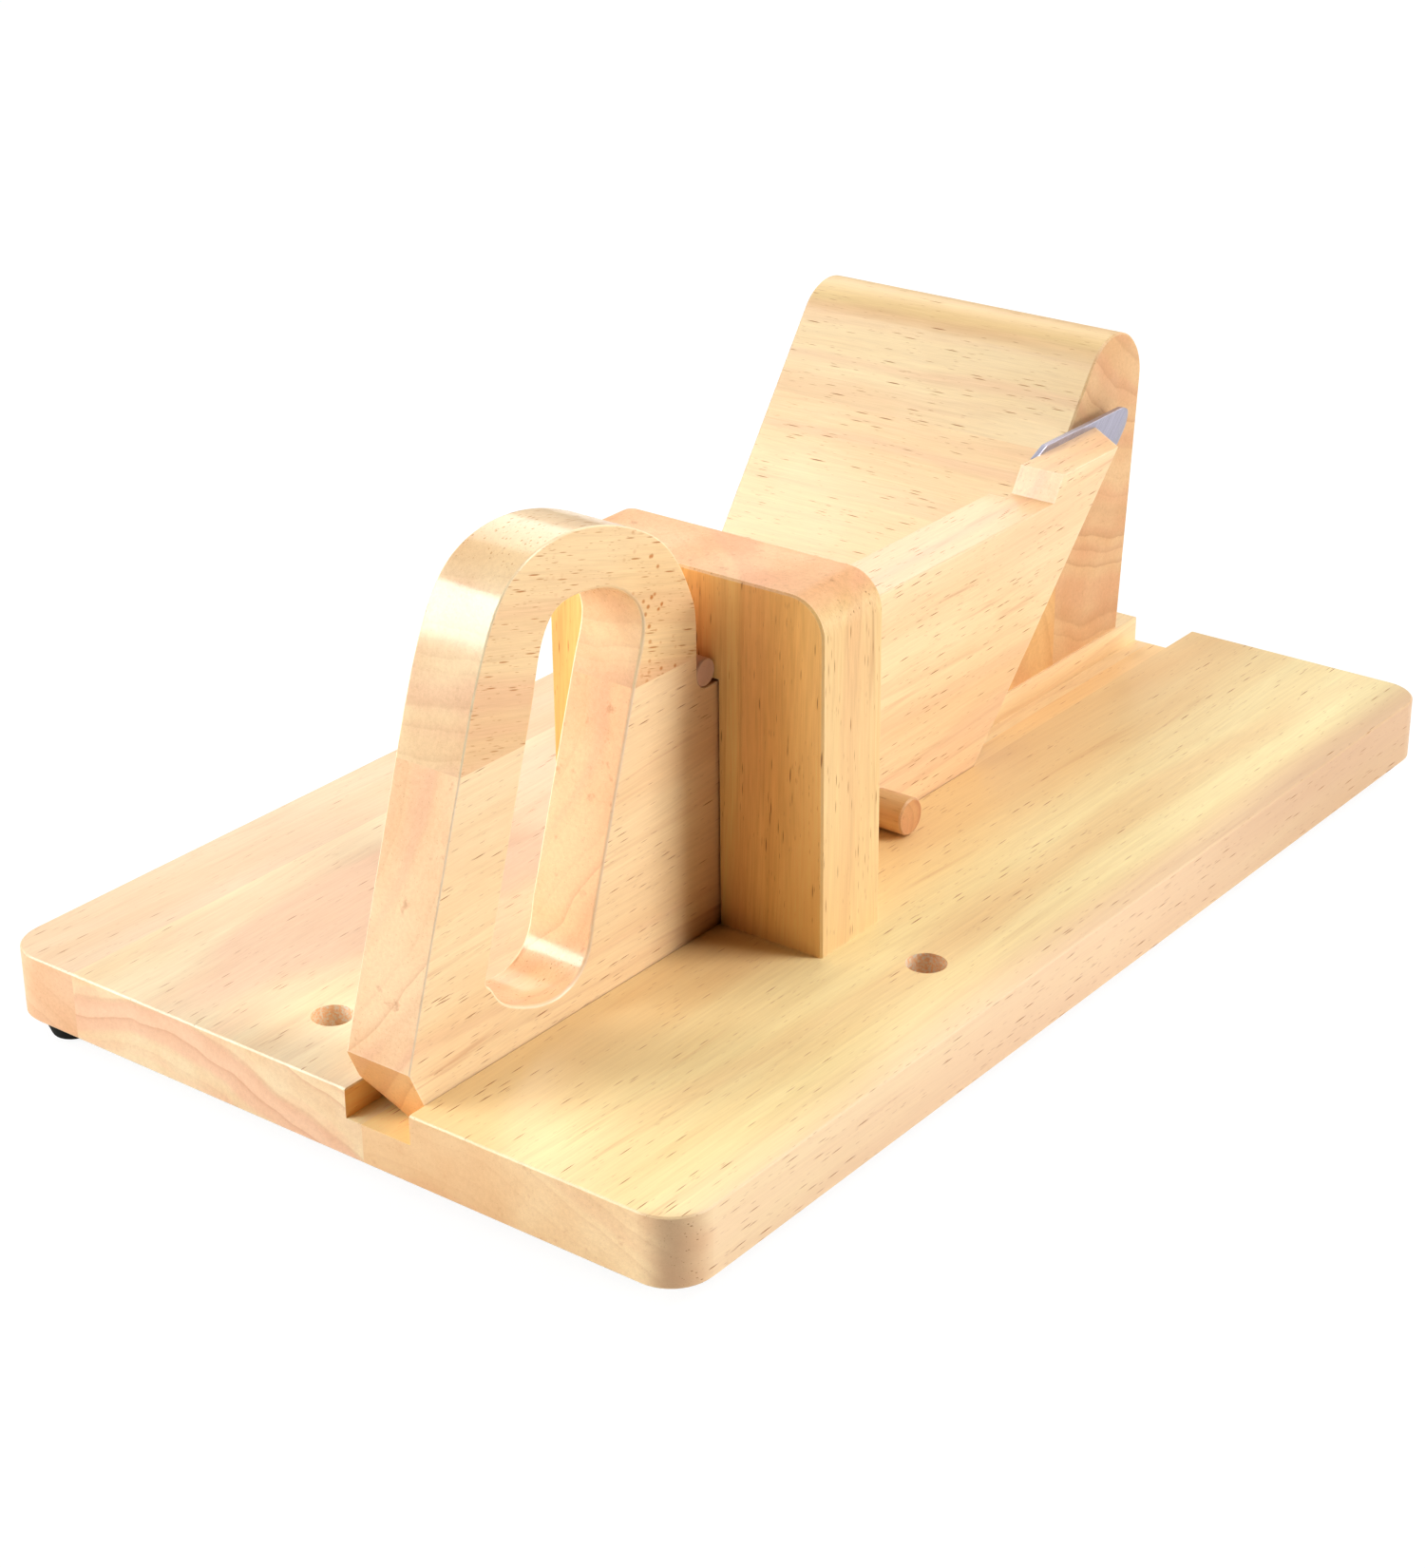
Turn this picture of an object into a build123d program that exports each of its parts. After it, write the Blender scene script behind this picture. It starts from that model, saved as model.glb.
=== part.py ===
from build123d import *
import math
import os

# Push-type bench slicer of glued hardwood boards.
# A grooved base carries a slotted guide block and a slanted rear block.
# A handled arm runs in the groove, through the guide block, and carries a
# flat steel blade set at 45 degrees on its left flank.
#
# Frame: +X to the user's right, +Y the push direction, +Z up.
# The user stands at -Y, which is the front; the rear is at +Y.
# Origin: centre of the base footprint, on the plane the rubber feet stand on.
# All lengths in millimetres. Heights of the rear block, arm, blade, peg and pin
# are counted from the top face of the base, which stands at z = TOP.

# ---------------------------------------------------------------- base board
BASE_L = 400.0          # along Y
BASE_W = 243.4          # along X
BASE_T = 21.0
CORNER_R = 13.0         # plan corner radius
UNDER_EASE = 0.8        # sanded edge of the underside
TOP_EASE = 0.6 * UNDER_EASE
SPLIT_A = -92.3         # glue line, left board to centre board
SPLIT_B = 16.8          # glue line, centre board to right board
CUT_X = 130.0           # beyond either side of the base

FOOT_H = 6.0
UNDER = FOOT_H          # underside of the base
TOP = FOOT_H + BASE_T   # top face of the base

GROOVE_X = 22.65        # centre line of groove, slot and arm
GROOVE_W = 22.5
GROOVE_D = 8.8

FIX_D = 11.8            # two through holes for bench bolts or dogs
FIX_HOLES = [(-17.9, -173.7), (94.3, -54.0)]

# ---------------------------------------------------------------- guide block
GUIDE_Y0, GUIDE_Y1 = -69.4, -41.6
GUIDE_X0, GUIDE_X1 = -26.0, 69.6
GUIDE_H = 106.4
GUIDE_R = 11.0          # upper corners
SLOT_H = 75.3
BLOCK_EASE = 0.6        # sanded arrises of both blocks

# ----------------------------------------------------------------- rear block
REAR_X0, REAR_X1 = -106.0, 10.7
REAR_BACK_Y = 187.6     # heel of the block on the base
REAR_GLUE_Y = 146.0
REAR_ANGLE = 54.3       # slanted face above the base
REAR_TOP_R = 17.2       # rolled top and its centre
REAR_TOP_Y, REAR_TOP_Z = 178.3, 90.3
REAR_CROWN_ANGLE = 70   # middle point of the rolled top

# --------------------------------------------------------------------- screws
FIT = 0.02              # radial clearance of a screw or pin in its bore
# Countersunk screws that hold the blocks, driven from below
BLOCK_SCREW_R = 2.25
BLOCK_HEAD_R = 4.4
BLOCK_SCREW_L = 50.0
BLOCK_TIP_L = 4.5
BLOCK_HEAD_INSET = 0.5  # head above the underside of the base
BLOCK_PASS_R = BLOCK_SCREW_R + 0.1
SINK_R = BLOCK_HEAD_R + 0.3
SINK_RIM = 0.8          # straight part of the countersink
SINK_D = 3.25
BLOCK_PILOT_L = BLOCK_SCREW_L - BASE_T + 3
GUIDE_SCREWS = [(x, (GUIDE_Y0 + GUIDE_Y1) / 2) for x in (-15.5, 0.5, 43.5, 60.0)]
REAR_SCREWS = [(x, y) for y in (125.0, 167.0) for x in (-80.0, -15.0)]

# ----------------------------------------------------------------------- feet
# The right front foot sits a little further in than the others.
FEET = [(-106.0, -190.0), (105.0, -184.0), (-106.0, 190.0), (106.0, 190.0)]
FOOT_R = 7.25
FOOT_FACE_R = 5.0       # flat that stands on the bench
FOOT_BORE_R = 1.95      # bore of foot and washer
RECESS_R = 3.6          # recess for washer and screw head
FOOT_SCREW_R = 1.75
FOOT_SCREW_L = 14.0
FOOT_HEAD_R = 3.1
FOOT_HEAD_Z = 0.9       # underside of the screw head
FOOT_HEAD_H = 1.9
WASHER_Z = FOOT_HEAD_Z + FOOT_HEAD_H
WASHER_R = 3.4
WASHER_T = 0.6
RECESS_Z = WASHER_Z + WASHER_T

# ------------------------------------------------------------------------ arm
ARM_W = 21.8
ARM_X0 = GROOVE_X - ARM_W / 2
ARM_X1 = GROOVE_X + ARM_W / 2
ARM_BOTTOM_Z = -GROOVE_D + 0.35         # slides 0.35 above the groove floor
SHANK_Z = 74.8
HEAD_Z = 82.9
ARM_GLUE_Z = 85.2                       # glue line under the handle top board
ARM_CUT_Y = 170.0                       # blank runs on to here, past the end face

# Stop peg, bedded in the corner between handle and shank
HANDLE_REAR_Y = -77.8
PEG_R = 4.1
PEG_SEAT_R = PEG_R + 0.03
PEG_Y = HANDLE_REAR_Y + PEG_SEAT_R
PEG_Z = SHANK_Z + PEG_SEAT_R
PEG_INSET = 0.35                        # peg ends inside the arm flanks

PIN_R = 5.9
PIN_Y = 9.6
PIN_Z = 6.3
PIN_OUT = 12.2                          # stands out of the arm on each side

# Side outlines, as (y, z above the base top)
TOE = (-190.1, ARM_BOTTOM_Z)            # lower front corner, in the groove
HEEL = (-198.6, 10.8)                   # front corner above the toe
ARCH = [(-173.0, 89.8), (-163.4, 115.6), (-152.4, 131.0), (-131.0, 136.9),
        (-106.4, 131.3), (-87.4, 117.8), (-79.3, 102.5), (HANDLE_REAR_Y, 88.0)]
LOOP_TOP = [(-145.8, 94.8), (-139.7, 113.2), (-136.0, 117.2), (-130.4, 118.9),
            (-123.4, 118.7), (-114.8, 116.9), (-107.2, 113.0), (-102.0, 107.3),
            (-100.4, 101.2), (-102.0, 94.2), (-105.2, 85.2)]
LOOP_LOW = [(-124.2, 25.2), (-126.8, 15.8), (-131.3, 10.4), (-137.8, 7.9),
            (-146.3, 8.4), (-156.1, 12.1), (-163.3, 17.4), (-166.7, 22.4), (-167.2, 27.0)]
HEAD_SLOPE = [(105.2, SHANK_Z), (110.5, HEAD_Z)]
LEAN_UP = (0.303, 0.953)                # direction of the leaning handle legs
LEAN_DOWN = (-LEAN_UP[0], -LEAN_UP[1])
LOOP_EASE = 0.9
HANDLE_EASE = 0.5

END_C, END_K = 63.0, 0.969              # end face on the right flank: y = END_C + END_K * z
END_SKEW = 12.3 / 16.0                  # end face runs rearwards this much per mm to the left

# Bevel under the front left corner: a point on it and its outward normal
LEAD_IN_POINT = (ARM_X0, -194.4, TOP + 1.5)
LEAD_IN_NORMAL = (-0.587, -0.16, -0.809)

# ---------------------------------------------------------------------- blade
BLADE_T = 1.8
REBATE_X = 17.7         # face that the blade is screwed to
BLADE_X0 = REBATE_X - BLADE_T
# Lines at 45 degrees, each y = z + C
REBATE_C = 26.0         # front wall of the rebate
SPINE_C = 37.0
SCREW_LINE_C = 55.0
EDGE_C = 101.0          # cutting edge
REBATE_Z0, REBATE_Z1 = -15.0, 95.0      # rebate cutter, larger than the arm
REBATE_CUT_Y = 200.0
BLADE_TOP_Z = 85.0
BLADE_LOW_Z = -6.0
SPINE_TOP_Z = 82.3      # spine ends here in a clipped corner
CLIP_END_Y = SPINE_C + 88.5
TIP_R = 5.8             # upper rear corner
BEVEL_W = 6.0           # width of the ground bevel
BEVEL_OVER = 0.6        # cutter runs this far past the edge
EDGE_T = 0.15           # thickness left at the edge

BLADE_SCREWS = [(SCREW_LINE_C + z, TOP + z) for z in (12.0, 40.0, 68.0)]
BLADE_SCREW_R = 1.75
BLADE_SCREW_L = 12.0    # length in the wood
BLADE_PILOT_L = 13.0
BLADE_HEAD_R = 3.4
BLADE_HEAD_H = 2.2


def up(points):
    """Shift (y, z) points from the top of the base to the frame."""
    return [(y, z + TOP) for y, z in points]


def end_faces(builder, axis):
    """The two outermost faces along an axis."""
    faces = builder.faces().sort_by(axis)
    return faces[0], faces[-1]


def block_rims(builder, axis):
    """Edges of both end faces, without those that rest on the base."""
    return ShapeList(e for face in end_faces(builder, axis)
                     for e in face.edges() if e.center().Z > TOP + 1.0)


def make_base_blank():
    """Whole base: rounded plan corners, eased edges, groove and bores."""
    with BuildPart() as base:
        with BuildSketch(Plane.XY.offset(UNDER)):
            RectangleRounded(BASE_W, BASE_L, CORNER_R)
        extrude(amount=BASE_T)
        chamfer(base.faces().sort_by(Axis.Z)[-1].edges(), TOP_EASE)
        chamfer(base.faces().sort_by(Axis.Z)[0].edges(), UNDER_EASE)
        # full-length groove for the arm
        with BuildSketch(Plane.XY.offset(TOP)):
            with Locations((GROOVE_X, 0)):
                Rectangle(GROOVE_W, BASE_L + 2)
        extrude(amount=-GROOVE_D, mode=Mode.SUBTRACT)
        # bench-fixing holes, straight through
        with BuildSketch(Plane.XY.offset(TOP)):
            with Locations(*FIX_HOLES):
                Circle(FIX_D / 2)
        extrude(amount=-BASE_T, mode=Mode.SUBTRACT)
        # clearance holes and countersinks for the block screws
        with BuildSketch(Plane.XY.offset(UNDER)):
            with Locations(*GUIDE_SCREWS, *REAR_SCREWS):
                Circle(BLOCK_PASS_R)
        extrude(amount=BASE_T, mode=Mode.SUBTRACT)
        for x, y in GUIDE_SCREWS + REAR_SCREWS:
            with BuildSketch(Plane.XZ.offset(-y)):
                with BuildLine():
                    Polyline((x, UNDER), (x + SINK_R, UNDER), (x + SINK_R, UNDER + SINK_RIM),
                             (x + BLOCK_PASS_R, UNDER + SINK_D), (x, UNDER + SINK_D),
                             close=True)
                make_face()
            revolve(axis=Axis((x, y, 0), (0, 0, 1)), mode=Mode.SUBTRACT)
        # blind pilots for the foot screws
        with BuildSketch(Plane.XY.offset(UNDER)):
            with Locations(*FEET):
                Circle(FOOT_SCREW_R + FIT)
        extrude(amount=FOOT_SCREW_L - 1.5, mode=Mode.SUBTRACT)
    return base.part


def make_base_board(blank, x0, x1):
    """One of the edge-glued boards of the base, from x0 to x1."""
    with BuildPart() as board:
        add(blank)
        with BuildSketch(Plane.XY):
            with Locations(((x0 + x1) / 2, 0)):
                Rectangle(x1 - x0, BASE_L + 10)
        extrude(amount=TOP + 5, mode=Mode.INTERSECT)
    return board.part


def make_split_board(blank, glue_plane, keep):
    """The part of a glued blank on one side of its glue plane."""
    with BuildPart() as board:
        add(blank)
        split(bisect_by=glue_plane, keep=keep)
    return board.part


def make_guide_block():
    """One upright board that bridges the arm."""
    slot_x0 = GROOVE_X - GROOVE_W / 2
    slot_x1 = GROOVE_X + GROOVE_W / 2
    with BuildPart() as guide:
        with BuildSketch(Plane.XZ.offset(-GUIDE_Y1)):
            with BuildLine():
                Polyline((GUIDE_X0, TOP), (slot_x0, TOP), (slot_x0, TOP + SLOT_H),
                         (slot_x1, TOP + SLOT_H), (slot_x1, TOP), (GUIDE_X1, TOP),
                         (GUIDE_X1, TOP + GUIDE_H), (GUIDE_X0, TOP + GUIDE_H), close=True)
            make_face()
        extrude(amount=GUIDE_Y1 - GUIDE_Y0)
        fillet(guide.edges().filter_by(Axis.Y).group_by(Axis.Z)[-1], GUIDE_R)
        chamfer(block_rims(guide, Axis.Y), BLOCK_EASE)
        # pilots for the screws from below
        with BuildSketch(Plane.XY.offset(TOP)):
            with Locations(*GUIDE_SCREWS):
                Circle(BLOCK_SCREW_R + FIT)
        extrude(amount=BLOCK_PILOT_L, mode=Mode.SUBTRACT)
    return guide.part


def roll_point(angle):
    """Point (y, z) on the rolled top of the rear block, angle in degrees from +Y."""
    radians = math.radians(angle)
    return (REAR_TOP_Y + REAR_TOP_R * math.cos(radians),
            REAR_TOP_Z + REAR_TOP_R * math.sin(radians))


def make_rear_blank():
    """Rear block: slanted front face, rolled top, back face tangent to the roll."""
    front = roll_point(REAR_ANGLE + 90)
    toe = (front[0] - front[1] / math.tan(math.radians(REAR_ANGLE)), 0)
    heel = (REAR_BACK_Y, 0)
    # the back face rises from the heel at this angle, leaning out about 5 degrees
    heel_to_centre = math.hypot(REAR_TOP_Y - REAR_BACK_Y, REAR_TOP_Z)
    back_angle = math.degrees(math.atan2(REAR_TOP_Z, REAR_TOP_Y - REAR_BACK_Y)
                              - math.asin(REAR_TOP_R / heel_to_centre))
    back = roll_point(back_angle - 90)
    with BuildPart() as rear:
        with BuildSketch(Plane.YZ.offset(REAR_X0)):
            with BuildLine():
                Line(*up([toe, front]))
                ThreePointArc(*up([front, roll_point(REAR_CROWN_ANGLE), back]))
                Line(*up([back, heel]))
                Line(*up([heel, toe]))
            make_face()
        extrude(amount=REAR_X1 - REAR_X0)
        chamfer(block_rims(rear, Axis.X), BLOCK_EASE)
        with BuildSketch(Plane.XY.offset(TOP)):
            with Locations(*REAR_SCREWS):
                Circle(BLOCK_SCREW_R + FIT)
        extrude(amount=BLOCK_PILOT_L, mode=Mode.SUBTRACT)
    return rear.part


def make_arm_blank():
    """Whole sliding arm with its handle."""
    seat_mid = PEG_SEAT_R * math.sqrt(0.5)
    with BuildPart() as arm:
        with BuildSketch(Plane.YZ.offset(ARM_X0)):
            with BuildLine():
                Polyline(*up([TOE, HEEL, ARCH[0]]))
                Spline(*up(ARCH), tangents=[LEAN_UP, (0, -1)])
                Line(*up([ARCH[-1], (HANDLE_REAR_Y, PEG_Z)]))
                ThreePointArc(*up([(HANDLE_REAR_Y, PEG_Z),
                                   (PEG_Y - seat_mid, PEG_Z - seat_mid),
                                   (PEG_Y, SHANK_Z)]))
                Polyline(*up([(PEG_Y, SHANK_Z), *HEAD_SLOPE, (ARM_CUT_Y, HEAD_Z),
                              (ARM_CUT_Y, ARM_BOTTOM_Z), TOE]))
            make_face()
        extrude(amount=ARM_W)
        # end face: undercut at 46 degrees and skewed rearwards to the blade side
        split(bisect_by=Plane(origin=(ARM_X1, END_C, TOP), z_dir=(END_SKEW, 1, -END_K)),
              keep=Keep.BOTTOM)
        # finger loop
        with BuildSketch(Plane.YZ.offset(ARM_X0)):
            with BuildLine():
                Spline(*up(LOOP_TOP), tangents=[LEAN_UP, LEAN_DOWN])
                Line(*up([LOOP_TOP[-1], LOOP_LOW[0]]))
                Spline(*up(LOOP_LOW), tangents=[LEAN_DOWN, LEAN_UP])
                Line(*up([LOOP_LOW[-1], LOOP_TOP[0]]))
            make_face()
        extrude(amount=ARM_W, mode=Mode.SUBTRACT)
        # eased rims of the loop and the outer handle
        loop_rims = ShapeList()
        outer_rims = ShapeList()
        for face in end_faces(arm, Axis.X):
            for wire in face.inner_wires():
                loop_rims += wire.edges()
            outer_rims += [e for e in face.outer_wire().edges()
                           if e.center().Y < -70 and e.center().Z > TOP + 12 and e.length > 20]
        fillet(loop_rims, LOOP_EASE)
        fillet(outer_rims, HANDLE_EASE)
        # lead-in bevel under the front left corner, fading out rearwards
        split(bisect_by=Plane(origin=LEAD_IN_POINT, z_dir=LEAD_IN_NORMAL), keep=Keep.BOTTOM)
        # rebate on the left flank that seats the blade
        with BuildSketch(Plane.YZ.offset(ARM_X0)):
            with BuildLine():
                Polyline(*up([(REBATE_C + REBATE_Z0, REBATE_Z0),
                              (REBATE_C + REBATE_Z1, REBATE_Z1),
                              (REBATE_CUT_Y, REBATE_Z1), (REBATE_CUT_Y, REBATE_Z0)]),
                         close=True)
            make_face()
        extrude(amount=REBATE_X - ARM_X0, mode=Mode.SUBTRACT)
        # blade screw pilots
        for point in BLADE_SCREWS:
            with BuildSketch(Plane.YZ.offset(REBATE_X)):
                with Locations(point):
                    Circle(BLADE_SCREW_R + FIT)
            extrude(amount=BLADE_PILOT_L, mode=Mode.SUBTRACT)
        # cross pin bore
        with BuildSketch(Plane.YZ.offset(ARM_X0)):
            with Locations((PIN_Y, TOP + PIN_Z)):
                Circle(PIN_R + FIT)
        extrude(amount=ARM_W, mode=Mode.SUBTRACT)
    return arm.part


def make_dowel(y, z, radius, overhang, bevel):
    """Dowel across the arm; overhang is how far each end passes the flank."""
    with BuildPart() as dowel:
        with BuildSketch(Plane.YZ.offset(ARM_X0 - overhang)):
            with Locations((y, TOP + z)):
                Circle(radius)
        extrude(amount=ARM_W + 2 * overhang)
        chamfer(dowel.edges().filter_by(GeomType.CIRCLE), bevel)
    return dowel.part


def make_blade():
    """Flat plate at 45 degrees, ground on the right face along its edge."""
    with BuildPart() as blade:
        with BuildSketch(Plane.YZ.offset(BLADE_X0)):
            with BuildLine():
                Polyline(*up([(SPINE_C + BLADE_LOW_Z, BLADE_LOW_Z),
                              (SPINE_C + SPINE_TOP_Z, SPINE_TOP_Z),
                              (CLIP_END_Y, BLADE_TOP_Z),
                              (EDGE_C + BLADE_TOP_Z, BLADE_TOP_Z),
                              (EDGE_C + BLADE_LOW_Z, BLADE_LOW_Z)]), close=True)
            make_face()
        extrude(amount=BLADE_T)
        fillet(blade.edges().filter_by(Axis.X).sort_by(Axis.Y)[-1], TIP_R)
        # bevel, cut by a section swept along the edge
        bevel_depth = (BLADE_T - EDGE_T) * (BEVEL_W + BEVEL_OVER) / BEVEL_W
        with BuildSketch(Plane(origin=(REBATE_X, EDGE_C, TOP), x_dir=(1, 0, 0),
                               z_dir=(0, 1, 1))):
            with BuildLine():
                Polyline((0, -BEVEL_W), (-bevel_depth, BEVEL_OVER),
                         (1, BEVEL_OVER), (1, -BEVEL_W), close=True)
            make_face()
        extrude(amount=160, both=True, mode=Mode.SUBTRACT)
        for point in BLADE_SCREWS:
            with BuildSketch(Plane.YZ.offset(BLADE_X0)):
                with Locations(point):
                    Circle(BLADE_SCREW_R + 0.15)
            extrude(amount=BLADE_T, mode=Mode.SUBTRACT)
    return blade.part


def make_blade_screws():
    """Three pan-head wood screws with cross slots."""
    with BuildPart() as screws:
        for point in BLADE_SCREWS:
            with BuildSketch(Plane.YZ.offset(BLADE_X0)):
                with Locations(point):
                    Circle(BLADE_HEAD_R)
            extrude(amount=-BLADE_HEAD_H)
            with BuildSketch(Plane.YZ.offset(BLADE_X0)):
                with Locations(point):
                    Circle(BLADE_SCREW_R)
            extrude(amount=BLADE_T + BLADE_SCREW_L)
        chamfer(screws.faces().filter_by(Axis.X).group_by(Axis.X)[0].edges(), 0.8)
        for point in BLADE_SCREWS:
            with BuildSketch(Plane.YZ.offset(BLADE_X0 - BLADE_HEAD_H)):
                with Locations(point):
                    Rectangle(3.2, 0.7)
                    Rectangle(0.7, 3.2)
            extrude(amount=1.1, mode=Mode.SUBTRACT)
    return screws.part


def make_block_screws(points):
    """Countersunk wood screws, heads just inside the underside of the base."""
    head_z = UNDER + BLOCK_HEAD_INSET
    with BuildPart() as screws:
        for x, y in points:
            with BuildSketch(Plane.XZ.offset(-y)):
                with BuildLine():
                    Polyline((x, head_z), (x + BLOCK_HEAD_R, head_z),
                             (x + BLOCK_HEAD_R, head_z + 0.5),
                             (x + BLOCK_SCREW_R, head_z + 2.7),
                             (x + BLOCK_SCREW_R, head_z + BLOCK_SCREW_L - BLOCK_TIP_L),
                             (x, head_z + BLOCK_SCREW_L), close=True)
                make_face()
            revolve(axis=Axis((x, y, 0), (0, 0, 1)))
        # cross slots
        with BuildSketch(Plane.XY.offset(head_z)):
            with Locations(*points):
                Rectangle(4.4, 0.9)
                Rectangle(0.9, 4.4)
        extrude(amount=1.6, mode=Mode.SUBTRACT)
    return screws.part


def make_rubber_feet():
    """Four domed feet, each bored and recessed for its screw."""
    with BuildPart() as feet:
        for x, y in FEET:
            with BuildSketch(Plane.XZ.offset(-y)):
                with BuildLine():
                    Polyline((x + FOOT_BORE_R, FOOT_H), (x + FOOT_R - 0.3, FOOT_H),
                             (x + FOOT_R, FOOT_H - 0.3), (x + FOOT_R, FOOT_H - 1.8))
                    Spline((x + FOOT_R, FOOT_H - 1.8), (x + FOOT_R - 0.75, 1.75),
                           (x + FOOT_FACE_R, 0.0), tangents=[(0, -1), (-1, 0)])
                    Polyline((x + FOOT_FACE_R, 0.0), (x + RECESS_R + 0.2, 0.0),
                             (x + RECESS_R, 0.2), (x + RECESS_R, RECESS_Z),
                             (x + FOOT_BORE_R, RECESS_Z), (x + FOOT_BORE_R, FOOT_H))
                make_face()
            revolve(axis=Axis((x, y, 0), (0, 0, 1)))
    return feet.part


def make_feet_washers():
    """Flat washers that spread the foot screws' load in the rubber."""
    with BuildPart() as washers:
        with BuildSketch(Plane.XY.offset(WASHER_Z)):
            with Locations(*FEET):
                Circle(WASHER_R)
                Circle(FOOT_BORE_R, mode=Mode.SUBTRACT)
        extrude(amount=WASHER_T)
    return washers.part


def make_feet_screws():
    """Pan-head screws of the feet, with cross slots."""
    with BuildPart() as screws:
        with BuildSketch(Plane.XY.offset(FOOT_HEAD_Z)):
            with Locations(*FEET):
                Circle(FOOT_HEAD_R)
        extrude(amount=FOOT_HEAD_H)
        chamfer(screws.faces().group_by(Axis.Z)[0].edges(), 0.6)
        with BuildSketch(Plane.XY.offset(WASHER_Z)):
            with Locations(*FEET):
                Circle(FOOT_SCREW_R)
        extrude(amount=FOOT_SCREW_L)
        with BuildSketch(Plane.XY.offset(FOOT_HEAD_Z)):
            with Locations(*FEET):
                Rectangle(3.0, 0.7)
                Rectangle(0.7, 3.0)
        extrude(amount=1.0, mode=Mode.SUBTRACT)
    return screws.part


base_blank = make_base_blank()
rear_blank = make_rear_blank()
arm_blank = make_arm_blank()
rear_glue = Plane.XZ.offset(-REAR_GLUE_Y)       # normal points to the front
arm_glue = Plane.XY.offset(TOP + ARM_GLUE_Z)

pieces = {
    "base_left_board": make_base_board(base_blank, -CUT_X, SPLIT_A),
    "base_centre_board": make_base_board(base_blank, SPLIT_A, SPLIT_B),
    "base_right_board": make_base_board(base_blank, SPLIT_B, CUT_X),
    "guide_block": make_guide_block(),
    "guide_block_screws": make_block_screws(GUIDE_SCREWS),
    "rear_block_front_board": make_split_board(rear_blank, rear_glue, Keep.TOP),
    "rear_block_back_board": make_split_board(rear_blank, rear_glue, Keep.BOTTOM),
    "rear_block_screws": make_block_screws(REAR_SCREWS),
    "arm_board": make_split_board(arm_blank, arm_glue, Keep.BOTTOM),
    "handle_top_board": make_split_board(arm_blank, arm_glue, Keep.TOP),
    # front stop, in the corner behind the handle
    "stop_peg": make_dowel(PEG_Y, PEG_Z, PEG_R, overhang=-PEG_INSET, bevel=0.3),
    # return stop, through the arm behind the guide block
    "cross_pin": make_dowel(PIN_Y, PIN_Z, PIN_R, overhang=PIN_OUT, bevel=0.5),
    "blade": make_blade(),
    "blade_screws": make_blade_screws(),
    "rubber_feet": make_rubber_feet(),
    "feet_washers": make_feet_washers(),
    "feet_screws": make_feet_screws(),
}

os.makedirs("parts", exist_ok=True)
for name, piece in pieces.items():
    piece.label = name
    export_step(piece, f"parts/{name}.step")
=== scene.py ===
"""A lever-arm cutter of lacquered rubberwood, with steel blade and screws and rubber feet.

The base lies flat on z = 0: three boards side by side along X, their grain along Y. The rear
block stands toward +Y and the handle points toward -Y. The script gives the CAD pieces their
procedural materials and sets up the floor, the lights and the camera. The scene is in metres;
the materials work in millimetres of object space.
"""
import math
from dataclasses import dataclass
from functools import cached_property

import bpy
import numpy as np
from mathutils import Matrix, Vector

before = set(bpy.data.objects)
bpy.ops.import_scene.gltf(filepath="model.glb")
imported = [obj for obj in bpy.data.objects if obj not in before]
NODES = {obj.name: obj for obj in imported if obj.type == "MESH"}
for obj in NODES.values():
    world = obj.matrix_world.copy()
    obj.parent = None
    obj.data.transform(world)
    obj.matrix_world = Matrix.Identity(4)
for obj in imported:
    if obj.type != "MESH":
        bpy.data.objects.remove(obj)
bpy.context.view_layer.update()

MM_PER_METRE = 1000.0

# Glue seams between boards: the axis across the seam, and its place along that axis in mm.
SEAM_BASE_LEFT = ((1, 0, 0), -92.3)
SEAM_BASE_RIGHT = ((1, 0, 0), 16.8)
SEAM_REAR = ((0, 1, 0), 146.0)
SEAM_HANDLE = ((0, 0, 1), 112.2)
ARM_SIDES = (11.75, 33.55)  # x of the arm's two flanks, mm


# ------------------------------------------------------------------ node graphs
def linear(hex_colour):
    """An sRGB hex colour as a linear RGBA tuple."""
    channels = []
    for start in (1, 3, 5):
        value = int(hex_colour[start : start + 2], 16) / 255.0
        channels.append(value / 12.92 if value <= 0.04045 else ((value + 0.055) / 1.055) ** 2.4)
    return (*channels, 1.0)


def grain_axes(grain, up):
    """Unit axes of a board: two across the grain, then the grain itself."""
    grain = np.array(grain, float)
    grain = grain / np.linalg.norm(grain)
    up = np.array(up, float)
    up = up - np.dot(up, grain) * grain
    up = up / np.linalg.norm(up)
    return tuple(np.cross(up, grain)), tuple(up), tuple(grain)


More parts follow.
